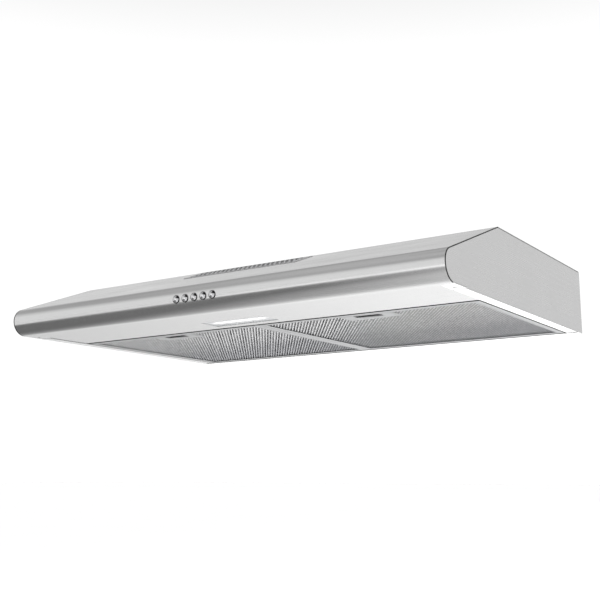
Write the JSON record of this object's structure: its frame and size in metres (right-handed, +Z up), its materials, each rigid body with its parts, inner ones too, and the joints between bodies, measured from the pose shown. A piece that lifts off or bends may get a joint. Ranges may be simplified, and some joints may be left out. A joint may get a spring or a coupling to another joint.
{
  "type": "under cabinet range hood",
  "caption": "Slim stainless under cabinet range hood with a rounded nose, push buttons, a lamp, drop-down grease filters, a front vent grille and a top duct collar.",
  "frame": {"origin": "middle of the four cabinet screws, on the top face of the canopy", "axes": "+X to the right end seen from the front, +Y towards the wall, +Z up into the cabinet"},
  "size_m": [0.76, 0.5035, 0.138],
  "materials": {
    "stainless": "fine brushed grain along the width",
    "galvanised": "dull zinc",
    "vent_plastic": "matte grey",
    "lamp_diffuser": "milky diffuser, lit",
    "circuit_board": "white solder mask",
    "white_plastic": "plain",
    "black_plastic": "fine texture",
    "housing_plastic": "moulded grey",
    "wheel_plastic": "moulded dark grey",
    "lever_plastic": "red",
    "motor_steel": "drawn steel",
    "copper_winding": "varnished copper",
    "bush_bronze": "sintered bronze",
    "screw_zinc": "zinc plated",
    "spring_steel": "bright wire",
    "button_silver": "satin silver",
    "charcoal_cloth": "charcoal granules in a moulded case",
    "filter_aluminium": "satin rolled sheet",
    "mesh_aluminium": "expanded mesh"
  },
  "bodies": {
    "hood": {"canopy_shell": "stainless", "side_panel_left": "stainless", "side_panel_right": "stainless", "back_panel": "stainless", "lamp_panel": "stainless", "centre_rail": "galvanised", "vent_grille": "vent_plastic", "lamp_lens": "lamp_diffuser", "lamp_board": "circuit_board", "lamp_driver": "white_plastic", "button_guide": "black_plastic", "switch_bank": "black_plastic", "mains_box": "white_plastic", "mains_box_cover": "galvanised", "cable_gland": "black_plastic", "run_capacitors": "white_plastic", "duct_collar": "galvanised", "damper_pin": "motor_steel", "outlet_box": "galvanised", "vent_duct": "galvanised", "fan_housing_left": "housing_plastic", "fan_housing_right": "housing_plastic", "inlet_plate_left": "housing_plastic", "inlet_plate_right": "housing_plastic", "motor_can_left": "motor_steel", "motor_can_right": "motor_steel", "motor_stators": "copper_winding", "motor_bushes": "bush_bronze", "motor_screws": "screw_zinc", "pan_screws": "screw_zinc", "spring_off": "spring_steel", "spring_low": "spring_steel", "spring_mid": "spring_steel", "spring_high": "spring_steel", "spring_lamp": "spring_steel"},
    "button_off": {"button_off": "button_silver"},
    "button_low": {"button_low": "button_silver"},
    "button_mid": {"button_mid": "button_silver"},
    "button_high": {"button_high": "button_silver"},
    "button_lamp": {"button_lamp": "button_silver"},
    "damper_front": {"damper_flap_front": "wheel_plastic"},
    "damper_rear": {"damper_flap_rear": "wheel_plastic"},
    "vent_flap": {"vent_flap": "wheel_plastic", "flap_lever": "lever_plastic"},
    "fan_left": {"fan_wheel_left": "wheel_plastic", "rotor_left": "motor_steel"},
    "fan_right": {"fan_wheel_right": "wheel_plastic", "rotor_right": "motor_steel"},
    "charcoal_left": {"charcoal_filter_left": "charcoal_cloth"},
    "charcoal_right": {"charcoal_filter_right": "charcoal_cloth"},
    "filter_left": {"filter_frame_left": "filter_aluminium", "filter_mesh_left": "mesh_aluminium", "latch_plate_left": "filter_aluminium", "latch_spring_left": "spring_steel"},
    "filter_right": {"filter_frame_right": "filter_aluminium", "filter_mesh_right": "mesh_aluminium", "latch_plate_right": "filter_aluminium", "latch_spring_right": "spring_steel"},
    "latch_left": {"latch_slider_left": "black_plastic"},
    "latch_right": {"latch_slider_right": "black_plastic"}
  },
  "joints": [
    {"name": "off_press", "type": "slide", "parent": "hood", "child": "button_off", "axis": [0, 1, 0], "range_m": [0, 0.0025], "stiffness_N_per_m": 500, "springref_m": -0.002, "deforming": ["spring_off"]},
    {"name": "low_press", "type": "slide", "parent": "hood", "child": "button_low", "axis": [0, 1, 0], "range_m": [0, 0.0025], "stiffness_N_per_m": 500, "springref_m": -0.002, "deforming": ["spring_low"]},
    {"name": "mid_press", "type": "slide", "parent": "hood", "child": "button_mid", "axis": [0, 1, 0], "range_m": [0, 0.0025], "stiffness_N_per_m": 500, "springref_m": -0.002, "deforming": ["spring_mid"]},
    {"name": "high_press", "type": "slide", "parent": "hood", "child": "button_high", "axis": [0, 1, 0], "range_m": [0, 0.0025], "stiffness_N_per_m": 500, "springref_m": -0.002, "deforming": ["spring_high"]},
    {"name": "lamp_press", "type": "slide", "parent": "hood", "child": "button_lamp", "axis": [0, 1, 0], "range_m": [0, 0.0025], "stiffness_N_per_m": 500, "springref_m": -0.002, "deforming": ["spring_lamp"]},
    {"name": "damper_front_open", "type": "hinge", "parent": "hood", "child": "damper_front", "pos_m": [0, 0.05, 0.004], "axis": [-1, 0, 0], "range_deg": [0, 75]},
    {"name": "damper_rear_open", "type": "hinge", "parent": "hood", "child": "damper_rear", "pos_m": [0, 0.05, 0.004], "axis": [1, 0, 0], "range_deg": [0, 75]},
    {"name": "vent_flap_turn", "type": "hinge", "parent": "hood", "child": "vent_flap", "pos_m": [0, -0.151, -0.063], "axis": [-1, 0, 0], "range_deg": [0, 80]},
    {"name": "fan_left_spin", "type": "hinge", "parent": "hood", "child": "fan_left", "pos_m": [-0.205, 0.019, -0.04], "axis": [0, 0, 1], "continuous": true},
    {"name": "fan_right_spin", "type": "hinge", "parent": "hood", "child": "fan_right", "pos_m": [0.205, 0.019, -0.04], "axis": [0, 0, 1], "continuous": true},
    {"name": "charcoal_left_turn", "type": "hinge", "parent": "hood", "child": "charcoal_left", "pos_m": [-0.205, 0.019, -0.08], "axis": [0, 0, 1], "range_deg": [0, 20]},
    {"name": "charcoal_right_turn", "type": "hinge", "parent": "hood", "child": "charcoal_right", "pos_m": [0.205, 0.019, -0.08], "axis": [0, 0, 1], "range_deg": [0, 20]},
    {"name": "filter_left_drop", "type": "hinge", "parent": "hood", "child": "filter_left", "pos_m": [-0.1801, 0.15, -0.1], "axis": [1, 0, 0], "range_deg": [0, 85]},
    {"name": "filter_right_drop", "type": "hinge", "parent": "hood", "child": "filter_right", "pos_m": [0.1801, 0.15, -0.1], "axis": [1, 0, 0], "range_deg": [0, 85]},
    {"name": "latch_left_pull", "type": "slide", "parent": "filter_left", "child": "latch_left", "axis": [0, 1, 0], "range_m": [0, 0.005], "stiffness_N_per_m": 300, "springref_m": -0.003, "deforming": ["latch_spring_left"]},
    {"name": "latch_right_pull", "type": "slide", "parent": "filter_right", "child": "latch_right", "axis": [0, 1, 0], "range_m": [0, 0.005], "stiffness_N_per_m": 300, "springref_m": -0.003, "deforming": ["latch_spring_right"]}
  ]
}
